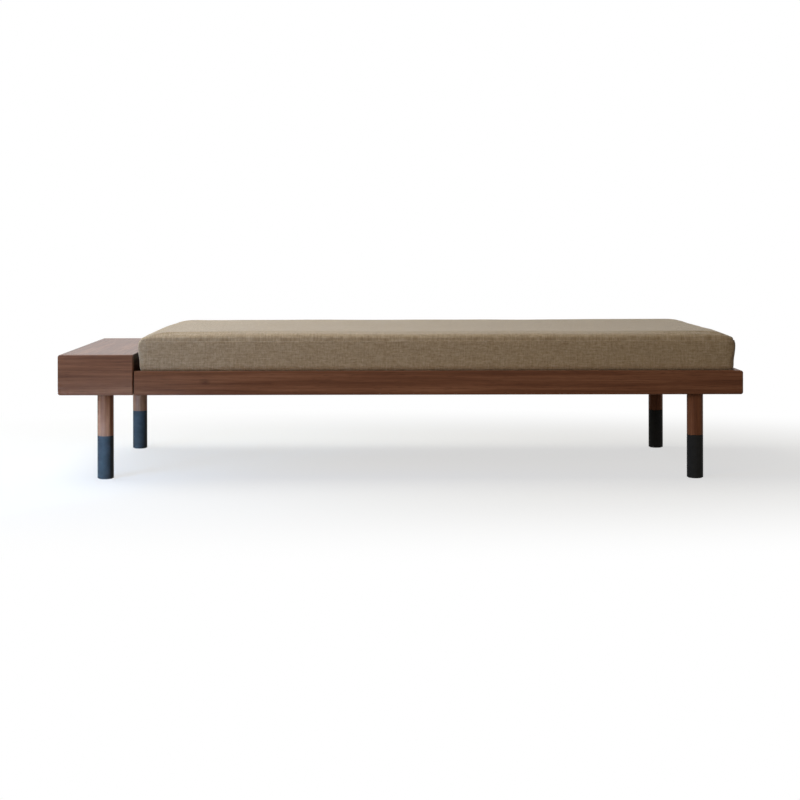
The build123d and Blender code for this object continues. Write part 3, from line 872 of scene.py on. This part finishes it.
def box_points(centre, size):
    """The eight corners and six faces of a small block."""
    corners = [Vector(centre) + Vector((dx * size[0] / 2, dy * size[1] / 2, dz * size[2] / 2))
               for dx in (-1, 1) for dy in (-1, 1) for dz in (-1, 1)]
    faces = [(0, 1, 3, 2), (4, 6, 7, 5), (0, 4, 5, 1), (2, 3, 7, 6), (0, 2, 6, 4), (1, 5, 7, 3)]
    return corners, faces


def zip_teeth(material):
    """Two rows of interlocked teeth along the zip tape."""
    low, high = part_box("mattress_zip")
    middle = (low + high) / 2
    points, faces = [], []
    for i in range(int((high.x - low.x) / TOOTH_PITCH)):
        side = -1 if i % 2 else 1
        centre = (low.x + (i + 0.5) * TOOTH_PITCH, middle.y + TOOTH_LIFT,
                  middle.z + side * TOOTH_SIZE[2] * TOOTH_STAGGER)
        add_block(points, faces, box_points(centre, TOOTH_SIZE))
    piece = mesh_object("zip_teeth", points, faces, material, smooth=False)
    bevel = piece.modifiers.new("Bevel", "BEVEL")
    bevel.width = TOOTH_BEVEL
    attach(piece, "mattress")


def stitch_points(middle, direction, normal):
    """One stitch: a short round stroke that dips at both ends."""
    points, faces = [], []
    across = direction.cross(normal)
    for i in range(STITCH_STEPS):
        share = i / (STITCH_STEPS - 1)
        arch = math.sin(math.pi * share)
        rise = STITCH_RADIUS * (arch - STITCH_SINK)
        centre = middle + direction * STITCH_LENGTH * (share - 0.5) + normal * rise
        radius = STITCH_RADIUS * (STITCH_END + (1 - STITCH_END) * arch)
        for k in range(STITCH_SIDES):
            angle = 2 * math.pi * k / STITCH_SIDES
            points.append(centre + across * math.cos(angle) * radius + normal * math.sin(angle) * radius)
    for i in range(STITCH_STEPS - 1):
        below, above = i * STITCH_SIDES, (i + 1) * STITCH_SIDES
        for k in range(STITCH_SIDES):
            after = (k + 1) % STITCH_SIDES
            faces.append((below + k, below + after, above + after, above + k))
    last = (STITCH_STEPS - 1) * STITCH_SIDES
    faces.append(tuple(range(STITCH_SIDES))[::-1])
    faces.append(tuple(last + k for k in range(STITCH_SIDES)))
    return points, faces


def sleeve_stitches(material):
    """The closing seam of each leg sleeve: a row of stitches on the side that faces the other legs."""
    points, faces = [], []
    for place in LEG_PLACES:
        low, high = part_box(f"leg_sleeve_{place}")
        centre = (low + high) / 2
        radius = (high.x - low.x) / 2
        slant = -math.copysign(STITCH_SLANT, centre.y)
        facing = Vector((-math.copysign(1, centre.x), slant, 0)).normalized()
        side = Vector((-facing.y, facing.x, 0))
        for i in range(int((high.z - low.z) / STITCH_PITCH) - 1):
            height = low.z + (i + 1) * STITCH_PITCH
            at = Vector((centre.x, centre.y, height)) + facing * radius
            add_block(points, faces, stitch_points(at, side, facing))
    piece = mesh_object("sleeve_stitches", points, faces, material)
    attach(piece, "frame")


# Stage

def make_floor():
    """A plain floor with the daybed's shadow: pale where it is seen, and darker as a source of light."""
    material, tree, shader = new_material("floor")
    set_sockets(shader, {"Roughness": 0.9, "Specular IOR Level": 0.0})
    seen = seen_rays(tree)
    link(tree, mix_colour(tree, "MIX", seen, FLOOR_AS_LIGHT, FLOOR_SEEN), shader.inputs["Base Color"])
    fade = add_node(tree, "ShaderNodeMapRange", interpolation_type="SMOOTHSTEP")
    set_sockets(fade, {"From Min": SHADOW_REACH, "From Max": WHITE_REACH, "To Min": SHADOW_WHITENESS})
    link(tree, vector_length(tree, object_space(tree, FLOOR_STRETCH)), fade.inputs["Value"])
    white = add_node(tree, "ShaderNodeEmission", Strength=1.0)
    mixer = tree.nodes.new("ShaderNodeMixShader")
    link(tree, math_node(tree, "MULTIPLY", seen, fade.outputs["Result"]), mixer.inputs["Fac"])
    link(tree, shader.outputs["BSDF"], mixer.inputs[1])
    link(tree, white.outputs["Emission"], mixer.inputs[2])
    link(tree, mixer.outputs["Shader"], tree.nodes["Material Output"].inputs["Surface"])
    corners = [(x * FLOOR_REACH, y * FLOOR_REACH, 0) for x, y in ((-1, -1), (1, -1), (1, 1), (-1, 1))]
    mesh_object("floor", corners, [(0, 1, 2, 3)], material, smooth=False)


def make_world():
    """White where it is seen; as light, a dim room with a pale wall at the rear left."""
    world = bpy.data.worlds.new("studio")
    bpy.context.scene.world = world
    world.use_nodes = True
    tree = world.node_tree
    direction = split_vector(tree, tree.nodes.new("ShaderNodeTexCoord").outputs["Generated"])
    # From 0 at the far left to 1 at the far right
    to_right = math_node(tree, "MULTIPLY_ADD", direction["X"], 0.5, 0.5)
    to_rear = grey_ramp(tree, direction["Y"], [(0.55, 0.0), (0.95, 1.0)])
    room = ramp(tree, to_right, [(0.75, ROOM_LEFT), (0.95, ROOM_RIGHT)])
    wall = ramp(tree, to_right, [(0.44, WALL_LEFT), (0.52, WALL_RIGHT)])
    light = mix_colour(tree, "ADD", to_rear, room, wall)
    colour = mix_colour(tree, "MIX", seen_rays(tree), light, WHITE)
    link(tree, colour, tree.nodes["Background"].inputs["Color"])


def softbox(name, place, target, size, power, colour, spread=180.0):
    """A rectangular soft light aimed at a point; a small spread, in degrees, is a grid before it."""
    data = bpy.data.lights.new(name, "AREA")
    data.shape = "RECTANGLE"
    data.size, data.size_y = size
    data.energy = power
    data.color = colour
    data.spread = math.radians(spread)
    lamp = bpy.data.objects.new(name, data)
    bpy.context.scene.collection.objects.link(lamp)
    lamp.visible_camera = False
    lamp.location = place
    aim = Vector(target) - Vector(place)
    lamp.rotation_euler = aim.to_track_quat("-Z", "Y").to_euler()


def make_lights():
    """Warm light from above, the front and the rear right, and cool light from the left."""
    softbox("overhead", place=(-1.15, 0.2, 2.4), target=LEFT_HALF, size=(2.0, 1.4),
            power=29.0, colour=(1.0, 0.965, 0.80))
    softbox("side", place=(-2.0, 0.5, 1.5), target=LEFT_HALF, size=(1.2, 2.0),
            power=21.5, colour=(0.92, 0.98, 1.0))
    softbox("fill", place=(-1.3, -3.5, 1.5), target=FRONT_MIDDLE, size=(3.0, 2.2),
            power=54.5, colour=(1.0, 0.895, 0.735))
    softbox("back", place=(2.3, 2.0, 0.42), target=RIGHT_HALF, size=(1.8, 0.5),
            power=11.0, colour=(1.0, 0.86, 0.70))
    softbox("window", place=(-1.5, -1.1, 1.05), target=LEFT_FRONT, size=(1.0, 1.0),
            power=9.4, colour=(0.20, 0.47, 1.0))
    softbox("leg_light", place=(-1.50, -0.95, 0.075), target=LEFT_LEGS, size=(0.75, 0.15),
            power=2.5, colour=(0.32, 0.60, 1.0), spread=24.0)


def make_camera():
    """A level camera; the shifts put the horizon and the vanishing point where the photograph has them."""
    data = bpy.data.cameras.new("camera")
    data.sensor_fit = "HORIZONTAL"
    data.sensor_width = SENSOR_MILLIMETRES
    data.lens = SENSOR_MILLIMETRES * FOCAL_PIXELS / IMAGE_SIZE
    data.shift_x = (IMAGE_SIZE / 2 - VANISHING_PIXEL) / IMAGE_SIZE
    data.shift_y = -(IMAGE_SIZE / 2 - HORIZON_PIXEL) / IMAGE_SIZE
    camera = bpy.data.objects.new("camera", data)
    bpy.context.scene.collection.objects.link(camera)
    camera.location = CAMERA_PLACE
    camera.rotation_euler = (math.pi / 2, CAMERA_ROLL, 0.0)
    bpy.context.scene.camera = camera


zip_metal = steel("zip_metal", (0.22, 0.19, 0.15), roughness=(0.30, 0.45), axis="X")
dress_wood()
dress_other(zip_metal)
make_cover(cushion_cloth())
zip_teeth(zip_metal)
sleeve_stitches(black_thread())
make_floor()
make_world()
make_lights()
make_camera()
bpy.context.scene.view_settings.view_transform = "Standard"
